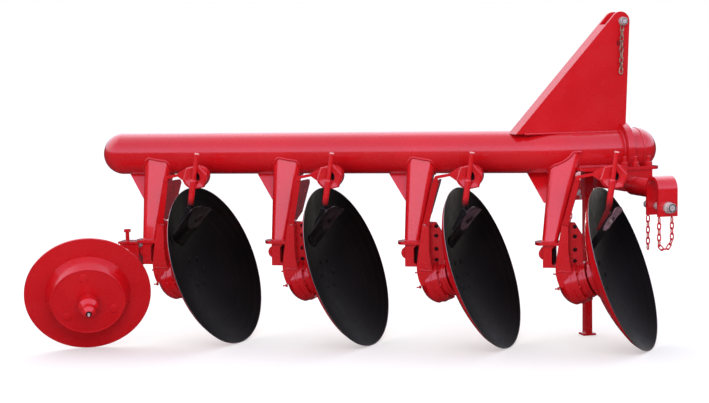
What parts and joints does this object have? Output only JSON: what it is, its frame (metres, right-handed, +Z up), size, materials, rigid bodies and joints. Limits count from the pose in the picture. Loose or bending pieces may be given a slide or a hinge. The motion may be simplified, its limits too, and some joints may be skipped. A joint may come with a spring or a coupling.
{
  "type": "mounted disc plough",
  "caption": "Tractor-mounted disc plough: tubular beam on tapered standards with dished discs, scrapers, rear furrow wheel, three-point headstock and a parking stand.",
  "frame": {"origin": "on the floor, below the middle of the bounding box", "axes": "+X is the direction of travel, towards the tractor; +Y is to the left; +Z is up. The beam runs 28 degrees to the right of +X."},
  "size_m": [2.4642, 1.39, 1.306],
  "materials": {
    "red_paint": "glossy red enamel",
    "disc_black": "glossy black enamel, red on the back",
    "blade_dark": "dark brown-black enamel",
    "zinc_steel": "bright zinc plate"
  },
  "bodies": {
    "frame": {"main_beam": "red_paint", "beam_rear_cap": "red_paint", "beam_front_cap": "red_paint", "beam_collar": "red_paint", "tower_plate_right": "red_paint", "tower_plate_left": "red_paint", "tower_cover": "red_paint", "top_link_pin": "zinc_steel", "top_pin_chain": "zinc_steel", "hitch_plate_right": "red_paint", "hitch_plate_left": "red_paint", "hitch_box": "red_paint", "cross_shaft": "red_paint", "lower_clevis_right": "red_paint", "lower_clevis_left": "red_paint", "lower_link_pins": "zinc_steel", "clevis_chain_right": "red_paint", "clevis_chain_left": "red_paint", "stand_socket": "red_paint", "standard_1": "red_paint", "foot_bracket_1": "red_paint", "disc_carrier_1": "red_paint", "scraper_arm_1": "red_paint", "scraper_blade_1": "blade_dark", "standard_2": "red_paint", "foot_bracket_2": "red_paint", "disc_carrier_2": "red_paint", "scraper_arm_2": "red_paint", "scraper_blade_2": "blade_dark", "standard_3": "red_paint", "foot_bracket_3": "red_paint", "disc_carrier_3": "red_paint", "scraper_arm_3": "red_paint", "scraper_blade_3": "blade_dark", "standard_4": "red_paint", "foot_bracket_4": "red_paint", "disc_carrier_4": "red_paint", "scraper_arm_4": "red_paint", "scraper_blade_4": "blade_dark", "wheel_arm": "red_paint", "wheel_clamp": "red_paint"},
    "stand_leg": {"stand_leg": "red_paint"},
    "furrow_wheel": {"furrow_wheel": "red_paint", "wheel_hub": "red_paint"},
    "disc_1": {"disc_1": "disc_black", "disc_hub_1": "red_paint"},
    "disc_2": {"disc_2": "disc_black", "disc_hub_2": "red_paint"},
    "disc_3": {"disc_3": "disc_black", "disc_hub_3": "red_paint"},
    "disc_4": {"disc_4": "disc_black", "disc_hub_4": "red_paint"}
  },
  "joints": [
    {"name": "disc_1_spin", "type": "hinge", "parent": "frame", "child": "disc_1", "pos_m": [-0.45928, 0.32863, 0.31304], "axis": [0.7123, -0.6235, 0.3223], "continuous": true},
    {"name": "disc_2_spin", "type": "hinge", "parent": "frame", "child": "disc_2", "pos_m": [0.02068, 0.07343, 0.31304], "axis": [0.7123, -0.6235, 0.3223], "continuous": true},
    {"name": "disc_3_spin", "type": "hinge", "parent": "frame", "child": "disc_3", "pos_m": [0.50065, -0.18178, 0.31304], "axis": [0.7123, -0.6235, 0.3223], "continuous": true},
    {"name": "disc_4_spin", "type": "hinge", "parent": "frame", "child": "disc_4", "pos_m": [0.98062, -0.43698, 0.31304], "axis": [0.7123, -0.6235, 0.3223], "continuous": true},
    {"name": "furrow_wheel_spin", "type": "hinge", "parent": "frame", "child": "furrow_wheel", "pos_m": [-0.98647, 0.28502, 0.22901], "axis": [-0.105, -0.9212, -0.3746], "continuous": true},
    {"name": "stand_slide", "type": "slide", "parent": "frame", "child": "stand_leg", "axis": [0, 0, 1], "range_m": [0, 0.3]}
  ]
}
